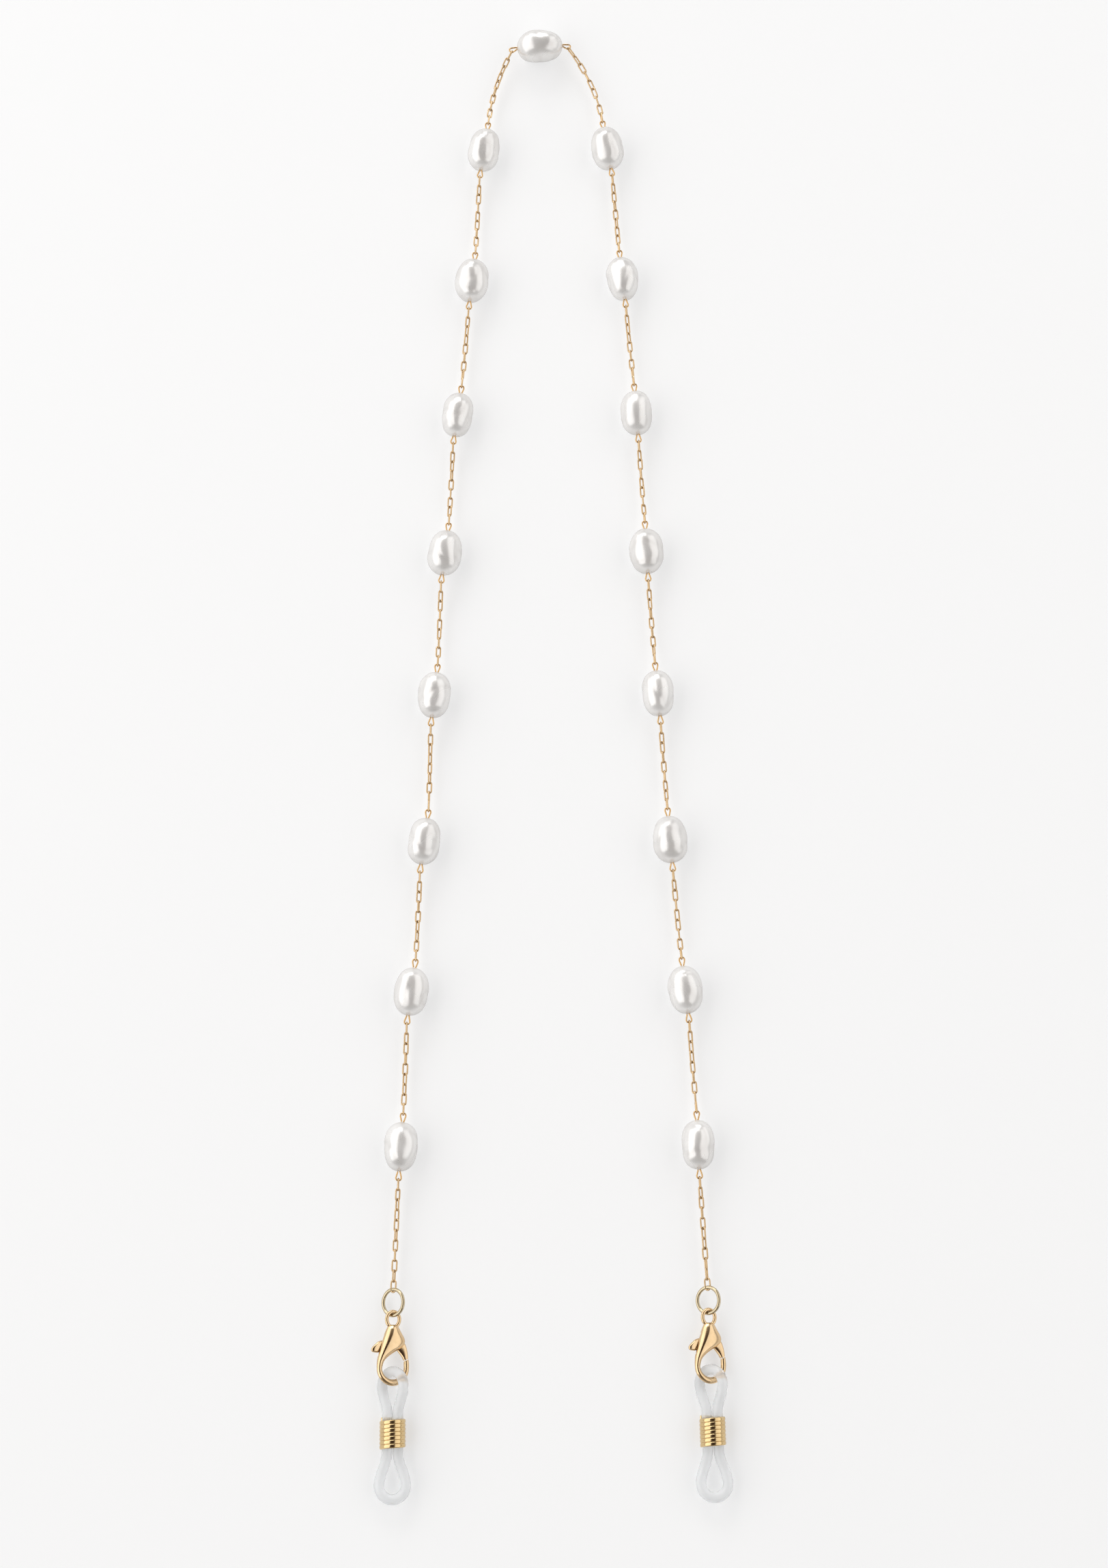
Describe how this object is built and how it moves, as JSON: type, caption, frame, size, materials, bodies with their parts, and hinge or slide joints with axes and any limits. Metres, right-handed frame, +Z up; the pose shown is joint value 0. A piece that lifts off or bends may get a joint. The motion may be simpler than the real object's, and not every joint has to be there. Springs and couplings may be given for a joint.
{
  "type": "eyeglasses chain strap",
  "caption": "Flat-laid eyeglasses strap of oval imitation pearls on fine gold cable chain, with a lobster clasp and a silicone temple loop at each end.",
  "frame": {"origin": "middle of the laid-out strap's outline, on the surface it lies on", "axes": "+Y from the temple loops to the centre pearl, +Z up from the surface, +X to the right of the layout"},
  "size_m": [0.0684, 0.308, 0.0071],
  "materials": {
    "pearl": "pearl lustre, softly glossy",
    "chain_gold": "pale gold plate, polished",
    "polished_gold": "gold plate, mirror polished",
    "ring_gold": "gold plate, slightly darker",
    "spring_steel": "plain wire",
    "clear_silicone": "milky translucent, satin"
  },
  "bodies": {
    "pearl_centre": {"pearl_centre": "pearl"},
    "chain_left_1": {"chain_left_1": "chain_gold"},
    "pearl_left_1": {"pearl_left_1": "pearl"},
    "chain_left_2": {"chain_left_2": "chain_gold"},
    "pearl_left_2": {"pearl_left_2": "pearl"},
    "chain_left_3": {"chain_left_3": "chain_gold"},
    "pearl_left_3": {"pearl_left_3": "pearl"},
    "chain_left_4": {"chain_left_4": "chain_gold"},
    "pearl_left_4": {"pearl_left_4": "pearl"},
    "chain_left_5": {"chain_left_5": "chain_gold"},
    "pearl_left_5": {"pearl_left_5": "pearl"},
    "chain_left_6": {"chain_left_6": "chain_gold"},
    "pearl_left_6": {"pearl_left_6": "pearl"},
    "chain_left_7": {"chain_left_7": "chain_gold"},
    "pearl_left_7": {"pearl_left_7": "pearl"},
    "chain_left_8": {"chain_left_8": "chain_gold"},
    "pearl_left_8": {"pearl_left_8": "pearl"},
    "chain_left_9": {"chain_left_9": "chain_gold"},
    "jump_ring_left": {"jump_ring_left": "ring_gold"},
    "clasp_left": {"clasp_body_left": "polished_gold", "clasp_rivet_left": "polished_gold", "clasp_spring_left": "spring_steel"},
    "clasp_trigger_left": {"clasp_trigger_left": "polished_gold"},
    "silicone_loop_left": {"silicone_loop_left": "clear_silicone"},
    "coil_sleeve_left": {"coil_sleeve_left": "polished_gold"},
    "chain_right_1": {"chain_right_1": "chain_gold"},
    "pearl_right_1": {"pearl_right_1": "pearl"},
    "chain_right_2": {"chain_right_2": "chain_gold"},
    "pearl_right_2": {"pearl_right_2": "pearl"},
    "chain_right_3": {"chain_right_3": "chain_gold"},
    "pearl_right_3": {"pearl_right_3": "pearl"},
    "chain_right_4": {"chain_right_4": "chain_gold"},
    "pearl_right_4": {"pearl_right_4": "pearl"},
    "chain_right_5": {"chain_right_5": "chain_gold"},
    "pearl_right_5": {"pearl_right_5": "pearl"},
    "chain_right_6": {"chain_right_6": "chain_gold"},
    "pearl_right_6": {"pearl_right_6": "pearl"},
    "chain_right_7": {"chain_right_7": "chain_gold"},
    "pearl_right_7": {"pearl_right_7": "pearl"},
    "chain_right_8": {"chain_right_8": "chain_gold"},
    "pearl_right_8": {"pearl_right_8": "pearl"},
    "chain_right_9": {"chain_right_9": "chain_gold"},
    "jump_ring_right": {"jump_ring_right": "ring_gold"},
    "clasp_right": {"clasp_body_right": "polished_gold", "clasp_rivet_right": "polished_gold", "clasp_spring_right": "spring_steel"},
    "clasp_trigger_right": {"clasp_trigger_right": "polished_gold"},
    "silicone_loop_right": {"silicone_loop_right": "clear_silicone"},
    "coil_sleeve_right": {"coil_sleeve_right": "polished_gold"}
  },
  "joints": [
    {"name": "chain_left_1_swing", "type": "hinge", "parent": "pearl_centre", "child": "chain_left_1", "pos_m": [-0.0087, 0.1491, 0.00335], "axis": [0, 0, -1], "range_deg": [-9, 45]},
    {"name": "pearl_left_1_lift", "type": "hinge", "parent": "chain_left_1", "child": "pearl_left_1", "pos_m": [-0.01355, 0.13228, 0.00335], "axis": [-0.9608, 0.2773, 0], "range_deg": [0, 35]},
    {"name": "chain_left_2_swing", "type": "hinge", "parent": "pearl_left_1", "child": "chain_left_2", "pos_m": [-0.0153, 0.11968, 0.00335], "axis": [0, 0, 1], "range_deg": [-45, 10]},
    {"name": "pearl_left_2_lift", "type": "hinge", "parent": "chain_left_2", "child": "pearl_left_2", "pos_m": [-0.01611, 0.10192, 0.00335], "axis": [0.999, -0.0436, 0], "range_deg": [-35, 0]},
    {"name": "chain_left_3_swing", "type": "hinge", "parent": "pearl_left_2", "child": "chain_left_3", "pos_m": [-0.01741, 0.08926, 0.00335], "axis": [0, 0, -1], "range_deg": [-12, 45]},
    {"name": "pearl_left_3_lift", "type": "hinge", "parent": "chain_left_3", "child": "pearl_left_3", "pos_m": [-0.01875, 0.07154, 0.00335], "axis": [-0.9972, 0.075, 0], "range_deg": [0, 35]},
    {"name": "chain_left_4_swing", "type": "hinge", "parent": "pearl_left_3", "child": "chain_left_4", "pos_m": [-0.02039, 0.05892, 0.00335], "axis": [0, 0, 1], "range_deg": [-45, 13]},
    {"name": "pearl_left_4_lift", "type": "hinge", "parent": "chain_left_4", "child": "pearl_left_4", "pos_m": [-0.02113, 0.04117, 0.00335], "axis": [0.9992, -0.0401, 0], "range_deg": [-35, 0]},
    {"name": "chain_left_5_swing", "type": "hinge", "parent": "pearl_left_4", "child": "chain_left_5", "pos_m": [-0.02257, 0.02852, 0.00335], "axis": [0, 0, -1], "range_deg": [-16, 45]},
    {"name": "pearl_left_5_lift", "type": "hinge", "parent": "chain_left_5", "child": "pearl_left_5", "pos_m": [-0.02309, 0.01076, 0.00335], "axis": [-0.9996, 0.0279, 0], "range_deg": [0, 35]},
    {"name": "chain_left_6_swing", "type": "hinge", "parent": "pearl_left_5", "child": "chain_left_6", "pos_m": [-0.02433, -0.00191, 0.00335], "axis": [0, 0, 1], "range_deg": [-45, 19]},
    {"name": "pearl_left_6_lift", "type": "hinge", "parent": "chain_left_6", "child": "pearl_left_6", "pos_m": [-0.0246, -0.01968, 0.00335], "axis": [0.9999, -0.014, 0], "range_deg": [-35, 0]},
    {"name": "chain_left_7_swing", "type": "hinge", "parent": "pearl_left_6", "child": "chain_left_7", "pos_m": [-0.02613, -0.03232, 0.00335], "axis": [0, 0, -1], "range_deg": [-26, 45]},
    {"name": "pearl_left_7_lift", "type": "hinge", "parent": "chain_left_7", "child": "pearl_left_7", "pos_m": [-0.02678, -0.05008, 0.00335], "axis": [-0.9994, 0.0349, 0], "range_deg": [0, 35]},
    {"name": "chain_left_8_swing", "type": "hinge", "parent": "pearl_left_7", "child": "chain_left_8", "pos_m": [-0.02833, -0.06271, 0.00335], "axis": [0, 0, 1], "range_deg": [-45, 34]},
    {"name": "pearl_left_8_lift", "type": "hinge", "parent": "chain_left_8", "child": "pearl_left_8", "pos_m": [-0.02879, -0.08047, 0.00335], "axis": [0.9997, -0.0244, 0], "range_deg": [-35, 0]},
    {"name": "chain_left_9_swing", "type": "hinge", "parent": "pearl_left_8", "child": "chain_left_9", "pos_m": [-0.02954, -0.09318, 0.00335], "axis": [0, 0, -1], "range_deg": [-60, 60]},
    {"name": "jump_ring_left_lift", "type": "hinge", "parent": "chain_left_9", "child": "jump_ring_left", "pos_m": [-0.03028, -0.11414, 0.0025], "axis": [-0.9994, 0.0349, 0], "range_deg": [0, 45]},
    {"name": "clasp_left_swing", "type": "hinge", "parent": "jump_ring_left", "child": "clasp_left", "pos_m": [-0.03023, -0.11904, 0.0025], "axis": [-0.309, -0.0032, -0.9511], "range_deg": [0, 30]},
    {"name": "clasp_left_trigger", "type": "hinge", "parent": "clasp_left", "child": "clasp_trigger_left", "pos_m": [-0.02961, -0.12383, 0.00231], "axis": [-0.309, -0.0032, -0.9511], "range_deg": [0, 20], "stiffness_Nm_per_rad": 0.002, "springref_deg": -5.73},
    {"name": "silicone_loop_left_swing", "type": "hinge", "parent": "clasp_left", "child": "silicone_loop_left", "pos_m": [-0.03011, -0.13086, 0.0025], "axis": [-0.951, -0.01, 0.309], "range_deg": [0, 35]},
    {"name": "coil_sleeve_left_slide", "type": "slide", "parent": "silicone_loop_left", "child": "coil_sleeve_left", "axis": [0.0105, -0.9999, 0], "range_m": [-0.0005, 0.0005]},
    {"name": "chain_right_1_swing", "type": "hinge", "parent": "pearl_centre", "child": "chain_right_1", "pos_m": [0.00377, 0.14993, 0.00335], "axis": [0, 0, 1], "range_deg": [-9, 45]},
    {"name": "pearl_right_1_lift", "type": "hinge", "parent": "chain_right_1", "child": "pearl_right_1", "pos_m": [0.01093, 0.13265, 0.00335], "axis": [-0.9239, -0.3827, 0], "range_deg": [0, 35]},
    {"name": "chain_right_2_swing", "type": "hinge", "parent": "pearl_right_1", "child": "chain_right_2", "pos_m": [0.01296, 0.12008, 0.00335], "axis": [0, 0, -1], "range_deg": [-45, 10]},
    {"name": "pearl_right_2_lift", "type": "hinge", "parent": "chain_right_2", "child": "pearl_right_2", "pos_m": [0.01438, 0.10237, 0.00335], "axis": [0.9969, 0.0785, 0], "range_deg": [-35, 0]},
    {"name": "chain_right_3_swing", "type": "hinge", "parent": "pearl_right_2", "child": "chain_right_3", "pos_m": [0.01569, 0.08971, 0.00335], "axis": [0, 0, 1], "range_deg": [-12, 45]},
    {"name": "pearl_right_3_lift", "type": "hinge", "parent": "chain_right_3", "child": "pearl_right_3", "pos_m": [0.01727, 0.07201, 0.00335], "axis": [-0.996, -0.0889, 0], "range_deg": [0, 35]},
    {"name": "chain_right_4_swing", "type": "hinge", "parent": "pearl_right_3", "child": "chain_right_4", "pos_m": [0.01814, 0.05931, 0.00335], "axis": [0, 0, -1], "range_deg": [-45, 13]},
    {"name": "pearl_right_4_lift", "type": "hinge", "parent": "chain_right_4", "child": "pearl_right_4", "pos_m": [0.01928, 0.04158, 0.00335], "axis": [0.9979, 0.0645, 0], "range_deg": [-35, 0]},
    {"name": "chain_right_5_swing", "type": "hinge", "parent": "pearl_right_4", "child": "chain_right_5", "pos_m": [0.01988, 0.02886, 0.00335], "axis": [0, 0, 1], "range_deg": [-16, 45]},
    {"name": "pearl_right_5_lift", "type": "hinge", "parent": "chain_right_5", "child": "pearl_right_5", "pos_m": [0.02109, 0.01113, 0.00335], "axis": [-0.9977, -0.068, 0], "range_deg": [0, 35]},
    {"name": "chain_right_6_swing", "type": "hinge", "parent": "pearl_right_5", "child": "chain_right_6", "pos_m": [0.02211, -0.00156, 0.00335], "axis": [0, 0, -1], "range_deg": [-45, 19]},
    {"name": "pearl_right_6_lift", "type": "hinge", "parent": "chain_right_6", "child": "pearl_right_6", "pos_m": [0.02329, -0.01929, 0.00335], "axis": [0.9978, 0.0663, 0], "range_deg": [-35, 0]},
    {"name": "chain_right_7_swing", "type": "hinge", "parent": "pearl_right_6", "child": "chain_right_7", "pos_m": [0.02424, -0.03198, 0.00335], "axis": [0, 0, 1], "range_deg": [-26, 45]},
    {"name": "pearl_right_7_lift", "type": "hinge", "parent": "chain_right_7", "child": "pearl_right_7", "pos_m": [0.02576, -0.04969, 0.00335], "axis": [-0.9963, -0.0854, 0], "range_deg": [0, 35]},
    {"name": "chain_right_8_swing", "type": "hinge", "parent": "pearl_right_7", "child": "chain_right_8", "pos_m": [0.02709, -0.06235, 0.00335], "axis": [0, 0, -1], "range_deg": [-45, 34]},
    {"name": "pearl_right_8_lift", "type": "hinge", "parent": "chain_right_8", "child": "pearl_right_8", "pos_m": [0.02831, -0.08008, 0.00335], "axis": [0.9977, 0.068, 0], "range_deg": [-35, 0]},
    {"name": "chain_right_9_swing", "type": "hinge", "parent": "pearl_right_8", "child": "chain_right_9", "pos_m": [0.02873, -0.0928, 0.00335], "axis": [0, 0, 1], "range_deg": [-60, 60]},
    {"name": "jump_ring_right_lift", "type": "hinge", "parent": "chain_right_9", "child": "jump_ring_right", "pos_m": [0.03004, -0.11373, 0.0025], "axis": [-0.998, -0.0628, 0], "range_deg": [0, 45]},
    {"name": "clasp_right_swing", "type": "hinge", "parent": "jump_ring_right", "child": "clasp_right", "pos_m": [0.03014, -0.11863, 0.0025], "axis": [-0.3089, -0.0065, -0.9511], "range_deg": [0, 30]},
    {"name": "clasp_right_trigger", "type": "hinge", "parent": "clasp_right", "child": "clasp_trigger_right", "pos_m": [0.03081, -0.12341, 0.00231], "axis": [-0.3089, -0.0065, -0.9511], "range_deg": [0, 20], "stiffness_Nm_per_rad": 0.002, "springref_deg": -5.73},
    {"name": "silicone_loop_right_swing", "type": "hinge", "parent": "clasp_right", "child": "silicone_loop_right", "pos_m": [0.03039, -0.13045, 0.0025], "axis": [-0.9508, -0.0199, 0.309], "range_deg": [0, 35]},
    {"name": "coil_sleeve_right_slide", "type": "slide", "parent": "silicone_loop_right", "child": "coil_sleeve_right", "axis": [0.0209, -0.9998, 0], "range_m": [-0.0005, 0.0005]}
  ]
}
